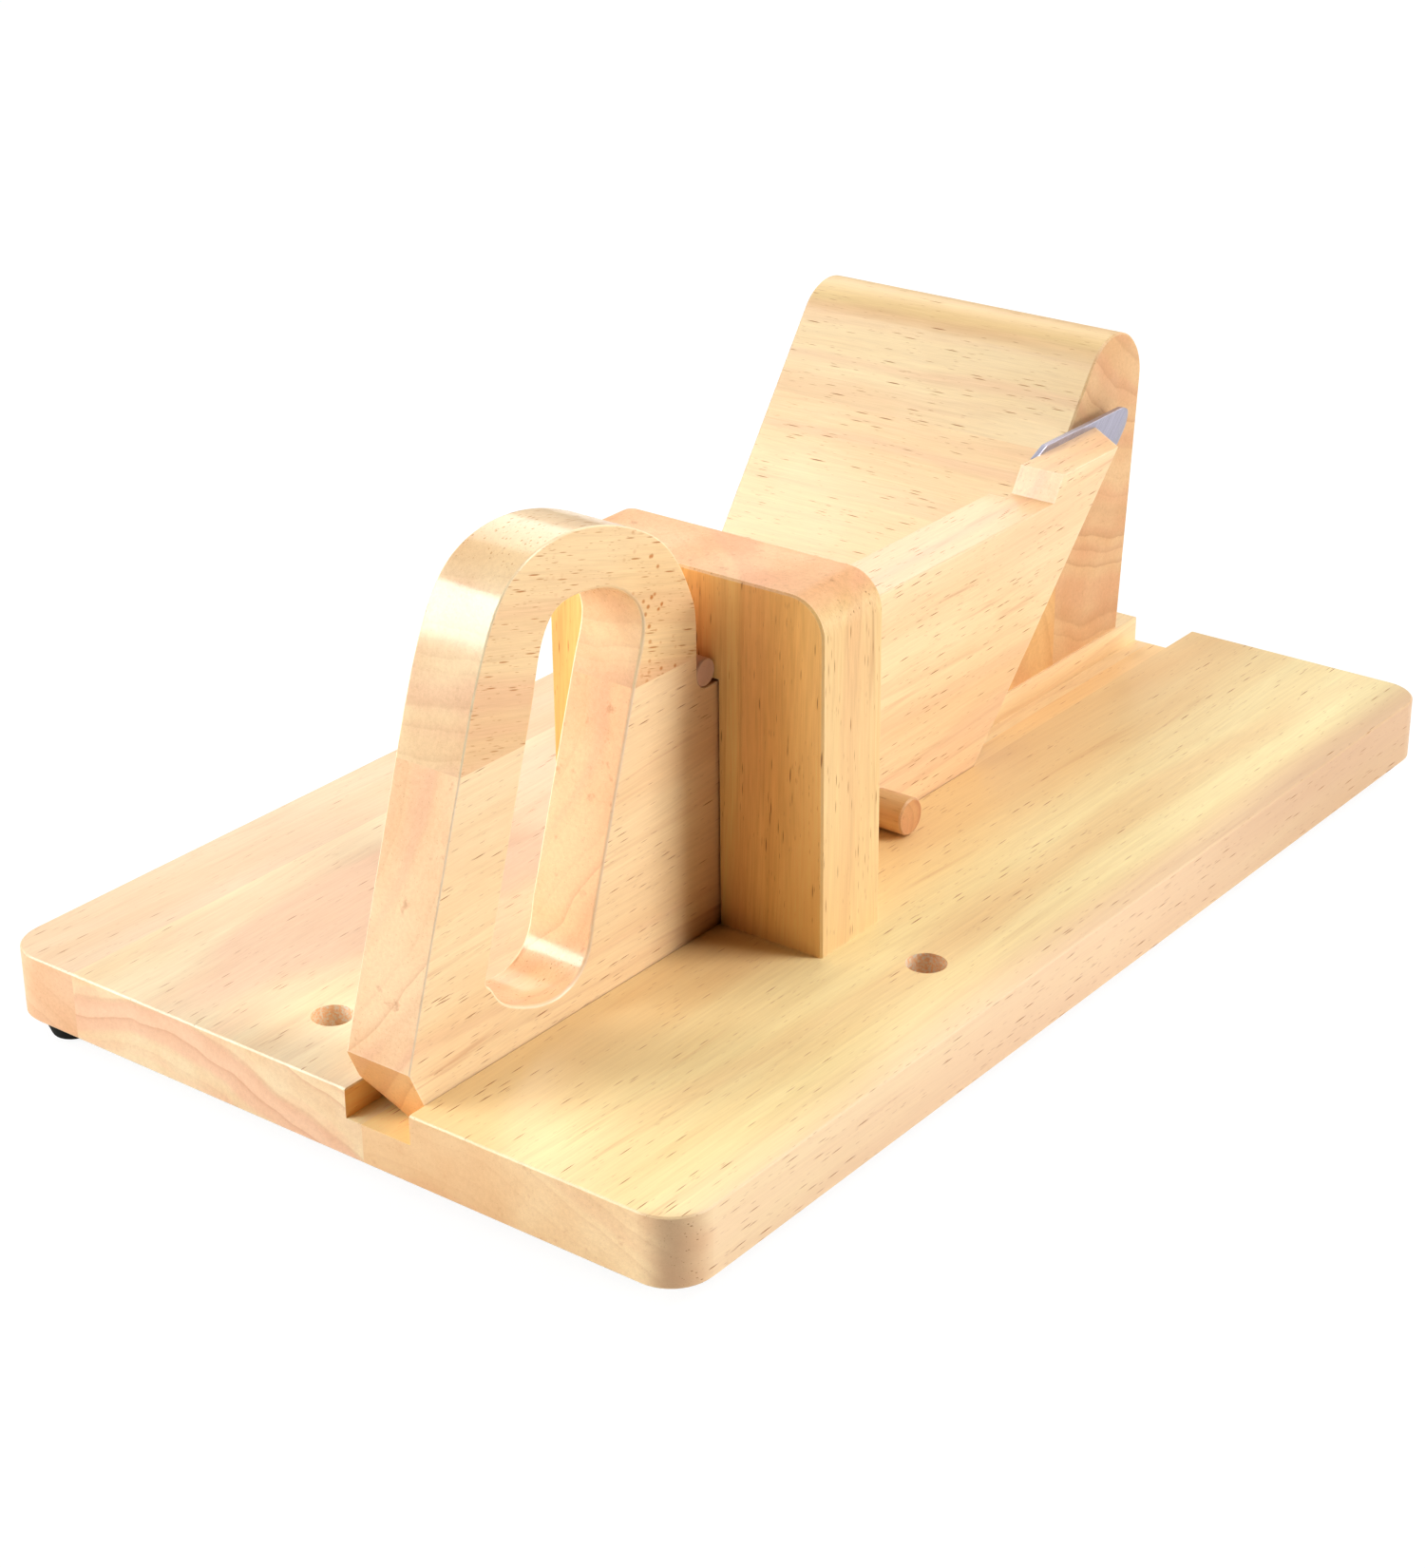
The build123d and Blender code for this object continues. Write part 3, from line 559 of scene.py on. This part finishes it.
WOODS = {
    "base_left_wood": dict(
        BASE_WOOD, seed=1.0, grain=(0.02, 1, 0.006), pith=(-118, 0, -48),
        light="#F6DFB4", dark="#F0D2A0", gain=(0.96, 0.91, 0.99), streak=0.15,
        pink="#EFC6A0", pink_bias=0.56, ring_amount=0.14, ring_spacing=8.0,
        end_tint=(0.97, 0.84, 0.78), seams=(SEAM_BASE_LEFT,),
    ),
    "base_centre_wood": dict(
        BASE_WOOD, seed=2.0, grain=(-0.03, 1, 0.028), pith=(-62, 0, -96), warp=7.0,
        light="#F5DDAC", dark="#F0CF9A", gain=(1.02, 1.10, 1.28), streak=0.12,
        pink="#F4BF98", pink_bias=0.50, pink_amount=0.55,
        ring="#D0905E", ring_amount=0.2, ring_spacing=7.5, end_ring=0.4,
        end_tint=(0.98, 0.92, 0.92), seams=(SEAM_BASE_LEFT, SEAM_BASE_RIGHT),
        groove=True, hole=(-17.9, -173.7, 5.9),
    ),
    "base_right_wood": dict(
        BASE_WOOD, seed=3.0, grain=(0.008, 1, 0.004), pith=(44, 0, -88), warp=5.0,
        light="#F5DFA6", dark="#EED095", gain=(1.03, 1.06, 1.2), streak=0.36,
        pink="#E9C28C", pink_bias=0.60, pink_amount=0.45,
        ring="#C58E55", ring_amount=0.16, ring_spacing=5.2, end_ring=0.16,
        pore="#A8652E", pore_amount=0.9, pore_share=0.52, pore_width=0.2, side_share=0.3,
        end_tint=(0.98, 0.90, 0.94), seams=(SEAM_BASE_RIGHT,),
        groove=True, hole=(94.3, -54.0, 5.9),
        zones=(
            ((1, 0, 0), 104, 126, "#F2CDAA", 0.8),
            # warmer and darker toward the arm: partly the wood's own colour, partly painted shade
            # from the arm
            ((-1, 0, 0), -86, -40, "#E2AE74", 0.55),
            # painted shade on the rounded front-right corner
            ((1, -1, 0), 305, 314, "#DCA772", 0.7),
        ),
        # painted shade: the right side darker toward the rear
        bands=(((1, 0.12, 0), (121, 140), (400, 401), "#E2D8D0", 0.8),),
        # painted light: the top paler than the sides
        painted_light_tints=(((0, 0, 1), (1.05, 1.09, 1.09)),),
    ),
    "guide_wood": dict(
        seed=4.0, grain=(0.02, 0.01, 1), up=(0, 1, 0), pith=(-40, -120, 60),
        light="#F0D39B", dark="#E3BC7E", gain=(1.08, 1.04, 1.02), streak=0.6, fibre=0.16,
        pink="#E5B583", pink_bias=0.54,
        ring="#A96A2E", ring_amount=0.26, ring_spacing=5.5, end_ring=-0.18,
        pore="#9A5A24", pore_amount=0.9, pore_share=0.62, pore_size=(0.95, 12.0), end_pore=0.5,
        end_tint=(1.0, 0.90, 0.98), worn_and_highlit_amount=0.6,
        # painted light and shade by facing: the front deeper orange, the top a little darker, the
        # right side cooler
        painted_light_tints=(
            ((0, -1, 0), (1.10, 1.02, 0.84)),
            ((0, 0, 1), (1.0, 0.96, 0.98)),
            ((1, 0, 0), (0.98, 1.0, 1.06)),
        ),
        # painted light: the front paler toward its lower right
        zones=(((1, 0, -0.25), 26, 62, "#F6DCAC", 0.42),),
    ),
    "rear_front_wood": dict(
        REAR_WOOD, seed=5.0, grain=(1, 0.01, 0.0), pith=(0, 60, 10),
        light="#F5DBA4", dark="#EECB92", gain=(0.93, 0.925, 0.99),
        pink="#EBBE92", pink_bias=0.53, pink_amount=0.38,
        ring="#C08550", ring_amount=0.08, ring_spacing=6.5, end_tint=(0.95, 0.80, 0.66),
    ),
    "rear_back_wood": dict(
        REAR_WOOD, seed=6.0, grain=(1, 0.0, 0.012), pith=(0, 214, 176),
        light="#F3D8A3", dark="#ECC88F", gain=(0.91, 0.945, 1.03),
        pink="#EAB98C", pink_bias=0.5, pink_amount=0.4,
        ring="#B9774A", ring_amount=0.06, ring_spacing=9.5, end_ring=0.38,
        # painted light: the top paler
        end_tint=(0.94, 0.80, 0.76), painted_light_tints=(((0, 0, 1), (1.06, 1.08, 1.08)),),
    ),
    "arm_wood": dict(
        ARM_WOOD, seed=7.0, grain=(0.01, 1, 0.035), pith=(-49, 0, 112),
        light="#F4DAA6", dark="#EECC96", gain=(1.06, 1.01, 1.13), streak=0.4,
        pink="#EABE94", pink_bias=0.57,
        ring="#BC7544", ring_amount=0.2, ring_spacing=8.5, end_ring=0.16,
        pore="#A05C28", pore_amount=0.9, pore_share=0.68, pore_size=(0.75, 12.0),
        pore_width=0.2, end_tint=(0.99, 0.91, 0.90), coat=0.5, coat_roughness=0.15,
        # painted shade on the flank just in front of the guide block
        bands=(((0, 1, 0), (-92, -70), (-69, -60), "#DDA467", 0.4),),
        # painted light and shade by facing: flank and front paler and cooler, the downward front
        # bevel darker orange, the top darker
        painted_light_tints=(
            ((1, 0, 0), (0.99, 1.05, 1.12)),
            ((0, -1, 0.1), (1.0, 1.05, 1.07)),
            ((0, -0.75, -0.66), (0.9, 0.76, 0.54)),
            ((0, 0, 1), (0.98, 0.94, 0.91)),
        ),
    ),
    "handle_wood": dict(
        ARM_WOOD, seed=8.0, grain=(0.02, 1, -0.27), pith=(5, 0, 220),
        light="#F2D6A4", dark="#E9C592", gain=(1.02, 1.00, 1.05), streak=0.25,
        pink="#E9BB92", pink_bias=0.52, ring="#B9844E", ring_amount=0.12, ring_spacing=6.5,
        pore="#BE7C3A", pore_amount=0.85, pore_share=0.88, pore_size=(0.85, 8.5),
        pore_width=0.25, end_pore=0.06, end_tint=(0.99, 0.91, 0.90),
        flecks=0.9, fleck_range=(-78.0, -62.0), coat=0.62, coat_roughness=0.14,
        # painted light: the front face paler and cooler
        painted_light_tints=(((0, -1, 0.2), (1.0, 1.11, 1.17)),),
    ),
    "dowel_wood": dict(
        seed=9.0, grain=(1, 0, 0), pith=(0, 2, 30),
        light="#EBC38C", dark="#DDAB70", gain=(0.88, 0.92, 1.0), streak=0.5,
        pink="#E2A67C", pink_bias=0.46, pink_amount=0.7,
        ring="#A0622E", ring_amount=0.25, ring_spacing=3.0,
        pore_amount=0.8, pore_share=0.6, pore_size=(0.8, 10.0), end_tint=(0.97, 0.80, 0.72),
        zones=(((0, 0, 1), 70, 90, "#FBD3B8", 0.9),),
    ),
}


# ------------------------------------------------------------------ steel and rubber
def steel(name, hue, roughness, brush, scale):
    """Ground stainless steel: scratches along brush, faint smears and paler edges."""
    graph = Material(name, scale)
    axes = grain_axes(brush, up=(1, 0, 0.01))
    brushed = [graph.dot(graph.position, axis) for axis in axes]
    vector = graph.stretched(brushed, across=9.0, along=0.06)
    scratches = graph.noise(vector, detail=4.0, roughness=0.7)
    smears = graph.even_noise(0.09, detail=3.0, roughness=0.6)
    grit = graph.even_noise(1.4, detail=2.0, roughness=0.5)
    bevel = graph.bevel(radius=0.0006, samples=4)
    edge = graph.edge_mask(bevel, high=0.25)

    plain = linear(hue)
    dark = (*[channel * 0.72 for channel in plain[:3]], 1.0)
    pale = (*[min(1.0, channel * 1.18) for channel in plain[:3]], 1.0)
    colour = graph.mix(graph.smooth(scratches, low=0.35, high=0.65), dark, plain)
    colour = graph.blend(colour, dark, graph.smooth(smears, low=0.45, high=0.7), amount=0.35)
    colour = graph.blend(colour, pale, edge, amount=0.7)
    height = graph.add(scratches, graph.multiply(grit, 0.3))
    graph.set_inputs(graph.surface, {
        "Base Color": colour,
        "Metallic": 1.0,
        "Roughness": graph.weighted_sum(
            roughness - 0.08, (scratches, 0.16), (smears, 0.14), (grit, 0.06)
        ),
        "Normal": graph.bump(height, distance=0.00004, strength=0.5, normal=bevel),
    })
    return graph.material


def rubber(name):
    """Black rubber with fine grain, dusty patches and paler edges."""
    graph = Material(name)
    grain = graph.even_noise(2.2, detail=4.0, roughness=0.65)
    patches = graph.even_noise(0.18, detail=3.0, roughness=0.6)
    bevel = graph.bevel(radius=0.0007, samples=4)
    colour = graph.mix(grain, "#141413", "#26251F")
    colour = graph.mix(graph.smooth(patches, low=0.48, high=0.68), colour, "#3A3833")
    edge = graph.edge_mask(bevel, high=0.25)
    graph.set_inputs(graph.surface, {
        "Base Color": graph.blend(colour, "#4A4741", edge, amount=0.5),
        "Roughness": graph.multiply_add(grain, factor=0.25, addend=0.55, clamp=True),
        "Normal": graph.bump(grain, distance=0.00012, strength=0.7, normal=bevel),
    })
    return graph.material


STEELS = {
    "blade_steel": dict(hue="#C8C5D3", roughness=0.30, brush=(0, 1, 1), scale=1.0),
    "screw_steel": dict(hue="#C6C3B8", roughness=0.34, brush=(1, 0, 0), scale=1.6),
    "washer_steel": dict(hue="#BDBDBA", roughness=0.36, brush=(1, 0.3, 0), scale=1.4),
}

MATERIALS = {name: WoodMaterial(name, Wood(**look)).material for name, look in WOODS.items()}
MATERIALS.update({name: steel(name, **look) for name, look in STEELS.items()})
MATERIALS["foot_rubber"] = rubber("foot_rubber")

SLOTS = {
    "base_left_board": "base_left_wood",
    "base_centre_board": "base_centre_wood",
    "base_right_board": "base_right_wood",
    "guide_block": "guide_wood",
    "guide_block_screws": "screw_steel",
    "rear_block_front_board": "rear_front_wood",
    "rear_block_back_board": "rear_back_wood",
    "rear_block_screws": "screw_steel",
    "arm_board": "arm_wood",
    "handle_top_board": "handle_wood",
    "stop_peg": "dowel_wood",
    "cross_pin": "dowel_wood",
    "blade": "blade_steel",
    "blade_screws": "screw_steel",
    "rubber_feet": "foot_rubber",
    "feet_washers": "washer_steel",
    "feet_screws": "screw_steel",
}
for node, slot in SLOTS.items():
    piece = NODES[node]
    piece.data.materials.clear()
    piece.data.materials.append(MATERIALS[slot])


# ------------------------------------------------------------------ stage
def add_object(name, data):
    added = bpy.data.objects.new(name, data)
    bpy.context.scene.collection.objects.link(added)
    return added


def floor_material():
    """Plain diffuse to the light, near-white glow to the camera."""
    material = bpy.data.materials.new("floor_pale")
    graph = Graph(material)
    lit = graph.add_node("BsdfDiffuse", {"Color": (0.86, 0.86, 0.86, 1)})
    glow = graph.add_node("Emission", {"Color": (1, 1, 1, 1), "Strength": 0.92})
    shade = graph.add_node("BsdfDiffuse", {"Color": (0.13, 0.13, 0.13, 1)})
    seen = graph.add_node("AddShader", {0: glow.outputs[0], 1: shade.outputs[0]})
    is_camera = graph.add_node("LightPath").outputs["Is Camera Ray"]
    mixed = graph.add_node("MixShader", {0: is_camera, 1: lit.outputs[0], 2: seen.outputs[0]})
    graph.add_node("OutputMaterial", {"Surface": mixed.outputs[0]})
    return material


def build_floor(half=6.0, z=-0.0002):
    mesh = bpy.data.meshes.new("floor")
    corners = [(-half, -half, z), (half, -half, z), (half, half, z), (-half, half, z)]
    mesh.from_pydata(corners, [], [(0, 1, 2, 3)])
    add_object("floor", mesh)
    mesh.materials.append(floor_material())


build_floor()


# ------------------------------------------------------------------ light
def build_world():
    """White to the camera; in reflections, a pale backdrop behind the object only."""
    world = bpy.data.worlds.new("studio")
    bpy.context.scene.world = world
    graph = Graph(world)
    azimuth = math.radians(127)
    backdrop_axis = Vector((math.cos(azimuth), math.sin(azimuth), 0.25)).normalized()
    direction = graph.add_node("TexCoord").outputs["Generated"]
    toward = graph.dot(direction, tuple(backdrop_axis))
    glow = graph.smooth(toward, low=0.1, high=0.8, top=0.42)
    rays = graph.add_node("LightPath").outputs
    strength = graph.multiply(glow, rays["Is Glossy Ray"])
    white = (1, 1, 1, 1)
    backdrop = graph.add_node("Background", {"Color": white, "Strength": strength})
    seen = graph.add_node("Background", {"Color": white, "Strength": 1.05})
    shaders = {0: rays["Is Camera Ray"], 1: backdrop.outputs[0], 2: seen.outputs[0]}
    mixed = graph.add_node("MixShader", shaders)
    graph.add_node("OutputWorld", {"Surface": mixed.outputs[0]})


def softbox(name, azimuth, elevation, distance, size, power):
    """A square area light on a sphere round the object, aimed at it. Angles in degrees."""
    pivot_z, target = 0.03, Vector((0, 0, 0.05))
    around, above = math.radians(azimuth), math.radians(elevation)
    light = bpy.data.lights.new(name, "AREA")
    light.shape = "RECTANGLE"
    light.size = light.size_y = size
    light.energy = power
    lamp = add_object(name, light)
    lamp.location = place = (
        distance * math.cos(around) * math.cos(above),
        distance * math.sin(around) * math.cos(above),
        distance * math.sin(above) + pivot_z,
    )
    lamp.rotation_euler = (target - Vector(place)).to_track_quat("-Z", "Y").to_euler()
    return lamp


build_world()

NEAR, FAR = 1.7, 2.9  # distances of the softboxes, m
RIGHT_POWER = 14.5 * (FAR / NEAR) ** 2  # as bright as 14.5 W at the near distance

# name, azimuth, elevation, distance, size, power
LAMPS = [
    ("softbox_left_low", 225, 14, NEAR, 1.0, 18.6),
    ("softbox_left_high", 225, 50, NEAR, 1.0, 8.4),
    ("softbox_left_front", 242, 30, NEAR, 1.2, 7.0),
    ("softbox_left_core", 223, 30, NEAR, 0.66, 25.0),
    ("softbox_right_low", 30, 14, FAR, 1.0, RIGHT_POWER),
    ("softbox_right_high", 30, 50, FAR, 1.0, RIGHT_POWER),
    ("softbox_side", 90, 35, NEAR, 0.9, 5.4),
    ("softbox_back", 135, 35, NEAR, 0.9, 6.5),
]
lamps = {row[0]: softbox(*row) for row in LAMPS}
for name in ("softbox_left_low", "softbox_left_high", "softbox_left_front"):
    lamps[name].visible_glossy = False
# the bright core of the left softbox shows only in reflections
core = lamps["softbox_left_core"]
core.visible_diffuse = False
core.data.color = (0.88, 0.94, 1.0)

# ------------------------------------------------------------------ camera
camera_data = bpy.data.cameras.new("camera")
camera_data.lens = 72.4923
camera_data.sensor_width = 36.0
camera_data.clip_start = 0.01
camera = add_object("camera", camera_data)
camera.matrix_world = Matrix(
    (
        (0.793514, -0.252871, 0.553526, 0.51925),
        (0.608482, 0.34344, -0.715401, -0.699326),
        (-0.009198, 0.904492, 0.426392, 0.445768),
        (0, 0, 0, 1),
    )
)
bpy.context.scene.camera = camera

view = bpy.context.scene.view_settings
view.view_transform = "Standard"
view.look = "None"
view.exposure = 0.0
view.gamma = 0.85
